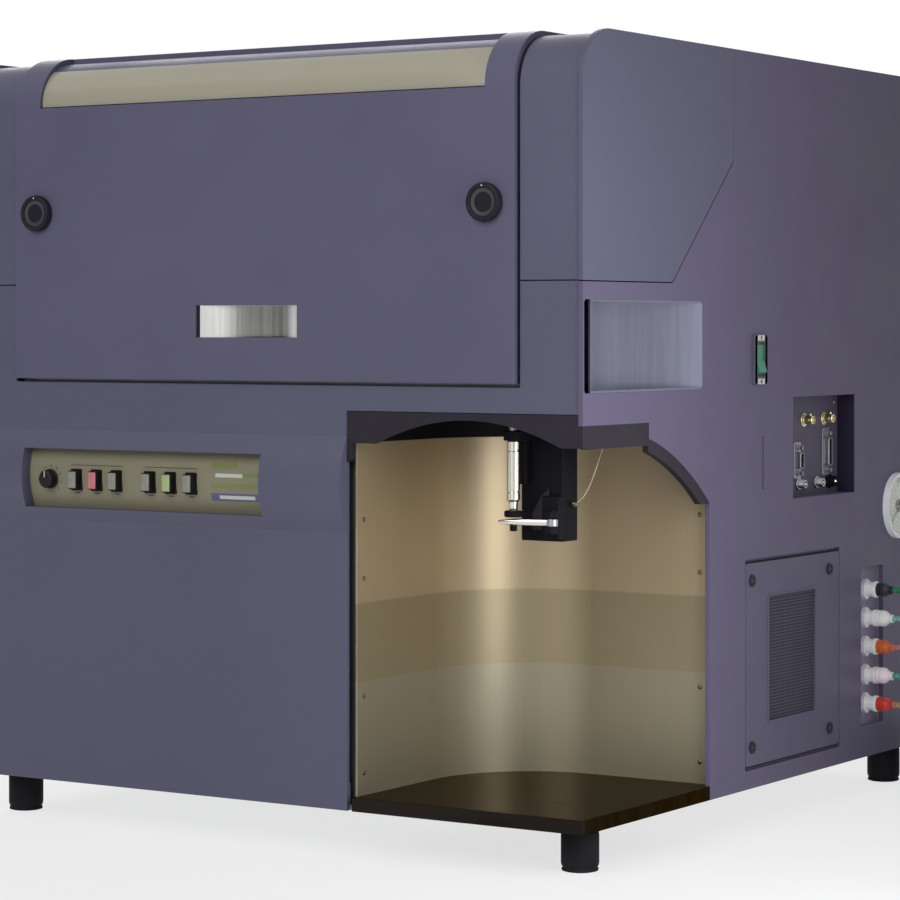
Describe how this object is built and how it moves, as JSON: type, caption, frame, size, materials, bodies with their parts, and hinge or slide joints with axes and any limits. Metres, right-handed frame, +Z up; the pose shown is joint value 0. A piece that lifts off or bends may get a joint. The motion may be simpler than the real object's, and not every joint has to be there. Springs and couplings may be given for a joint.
{
  "type": "flow cytometer",
  "caption": "Benchtop flow cytometer with a lift-up front door, a control strip, an open sample bay in its right front corner and fluid tubes on its right side",
  "frame": {"origin": "On the bench, under the middle of the instrument without its free tubes", "axes": "+X to the right, +Y to the back, +Z up"},
  "size_m": [0.8312, 0.7724, 0.7655],
  "materials": {
    "front_moulding": "satin painted",
    "door_moulding": "satin painted",
    "side_paint": "satin",
    "chassis_steel": "zinc plated",
    "black_plastic": "fine texture",
    "bay_floor_gloss": "polished",
    "beige_trim": "satin",
    "liner_beige": "semi gloss",
    "pull_grey": "satin",
    "foot_rubber": "matt",
    "button_grey": "satin",
    "button_red": "lit",
    "button_green": "lit",
    "rocker_green": "glossy",
    "polished_steel": "polished",
    "connector_metal": "nickel",
    "filter_foam": "open foam",
    "gauge_white": "glossy",
    "tray_grey": "satin",
    "coupling_plastic": "satin",
    "bench_aluminium": "anodised",
    "optics_black": "black anodised",
    "board_green": "lacquered",
    "fluidics_white": "machined",
    "line_clear": "clear",
    "tube_green": "translucent",
    "tube_white": "translucent",
    "tube_orange": "translucent",
    "tube_teal": "translucent",
    "tube_tan": "translucent",
    "coil_clear": "translucent"
  },
  "bodies": {
    "instrument": {"base_pan": "chassis_steel", "feet": "foot_rubber", "chassis_frame": "chassis_steel", "lower_front_housing": "front_moulding", "upper_front_cover": "front_moulding", "top_panel": "side_paint", "right_side_panel": "side_paint", "left_side_panel": "side_paint", "rear_panel": "side_paint", "door_hinges": "chassis_steel", "control_panel": "beige_trim", "bay_liner": "liner_beige", "bay_floor": "bay_floor_gloss", "bay_ceiling": "black_plastic", "front_fascia": "black_plastic", "side_fascia": "black_plastic", "injection_block": "black_plastic", "needle_assembly": "polished_steel", "sample_line": "line_clear", "grip_scoop": "pull_grey", "switch_bezel": "black_plastic", "connector_tray": "black_plastic", "side_connectors": "connector_metal", "intake_filter": "filter_foam", "gauge_case": "gauge_white", "coupling_tray": "tray_grey", "bulkhead_sockets": "polished_steel", "tube_couplings": "coupling_plastic", "optical_bench": "bench_aluminium", "laser_modules": "optics_black", "detector_arrays": "optics_black", "flow_cell": "bench_aluminium", "electronics_modules": "board_green", "fluidics_module": "fluidics_white", "fan_frame": "black_plastic", "green_tube": "tube_green", "white_tube": "tube_white", "orange_tube": "tube_orange", "teal_tube": "tube_teal", "red_tube": "tube_tan", "tube_coils": "coil_clear"},
    "door": {"door_shell": "door_moulding", "door_trim_strip": "beige_trim", "door_pull": "pull_grey"},
    "left_lock": {"left_lock_knob": "black_plastic"},
    "right_lock": {"right_lock_knob": "black_plastic"},
    "flow_knob": {"flow_knob": "black_plastic"},
    "run_button": {"run_button": "button_grey"},
    "standby_button": {"standby_button": "button_red"},
    "prime_button": {"prime_button": "button_grey"},
    "low_flow_button": {"low_flow_button": "button_grey"},
    "medium_flow_button": {"medium_flow_button": "button_green"},
    "high_flow_button": {"high_flow_button": "button_grey"},
    "support_arm": {"support_arm": "polished_steel"},
    "power_rocker": {"power_rocker": "rocker_green"},
    "intake_cover": {"intake_cover": "side_paint", "intake_grille": "black_plastic", "intake_fasteners": "chassis_steel"},
    "gauge_needle": {"gauge_needle": "black_plastic"},
    "fan_rotor": {"fan_rotor": "black_plastic"}
  },
  "joints": [
    {"name": "door_hinge", "type": "hinge", "parent": "instrument", "child": "door", "pos_m": [0, -0.13375, 0.7615], "axis": [-1, 0, 0], "range_deg": [0, 80]},
    {"name": "left_lock_turn", "type": "hinge", "parent": "door", "child": "left_lock", "pos_m": [-0.263, -0.37775, 0.606], "axis": [0, 1, 0], "range_deg": [0, 90]},
    {"name": "right_lock_turn", "type": "hinge", "parent": "door", "child": "right_lock", "pos_m": [0.263, -0.37775, 0.606], "axis": [0, -1, 0], "range_deg": [0, 90]},
    {"name": "flow_knob_turn", "type": "hinge", "parent": "instrument", "child": "flow_knob", "pos_m": [-0.251, -0.37775, 0.342], "axis": [0, 1, 0], "range_deg": [-135, 135]},
    {"name": "run_press", "type": "slide", "parent": "instrument", "child": "run_button", "axis": [0, 1, 0], "range_m": [0, 0.0025], "stiffness_N_per_m": 400, "springref_m": -0.0015},
    {"name": "standby_press", "type": "slide", "parent": "instrument", "child": "standby_button", "axis": [0, 1, 0], "range_m": [0, 0.0025], "stiffness_N_per_m": 400, "springref_m": -0.0015},
    {"name": "prime_press", "type": "slide", "parent": "instrument", "child": "prime_button", "axis": [0, 1, 0], "range_m": [0, 0.0025], "stiffness_N_per_m": 400, "springref_m": -0.0015},
    {"name": "low_flow_press", "type": "slide", "parent": "instrument", "child": "low_flow_button", "axis": [0, 1, 0], "range_m": [0, 0.0025], "stiffness_N_per_m": 400, "springref_m": -0.0015},
    {"name": "medium_flow_press", "type": "slide", "parent": "instrument", "child": "medium_flow_button", "axis": [0, 1, 0], "range_m": [0, 0.0025], "stiffness_N_per_m": 400, "springref_m": -0.0015},
    {"name": "high_flow_press", "type": "slide", "parent": "instrument", "child": "high_flow_button", "axis": [0, 1, 0], "range_m": [0, 0.0025], "stiffness_N_per_m": 400, "springref_m": -0.0015},
    {"name": "power_rocker_tilt", "type": "hinge", "parent": "instrument", "child": "power_rocker", "pos_m": [0.356, -0.03075, 0.461], "axis": [0, 1, 0], "range_deg": [0, 16]},
    {"name": "support_arm_swing", "type": "hinge", "parent": "instrument", "child": "support_arm", "pos_m": [0.298, -0.31975, 0.3145], "axis": [0, 0, 1], "range_deg": [0, 80]},
    {"name": "intake_cover_lift_off", "type": "slide", "parent": "instrument", "child": "intake_cover", "axis": [1, 0, 0], "range_m": [0, 0.06]},
    {"name": "gauge_needle_turn", "type": "hinge", "parent": "instrument", "child": "gauge_needle", "pos_m": [0.3645, 0.29225, 0.302], "axis": [-1, 0, 0], "range_deg": [0, 270]},
    {"name": "fan_spin", "type": "hinge", "parent": "instrument", "child": "fan_rotor", "pos_m": [-0.17, 0.367, 0.61], "axis": [0, 1, 0], "continuous": true}
  ]
}
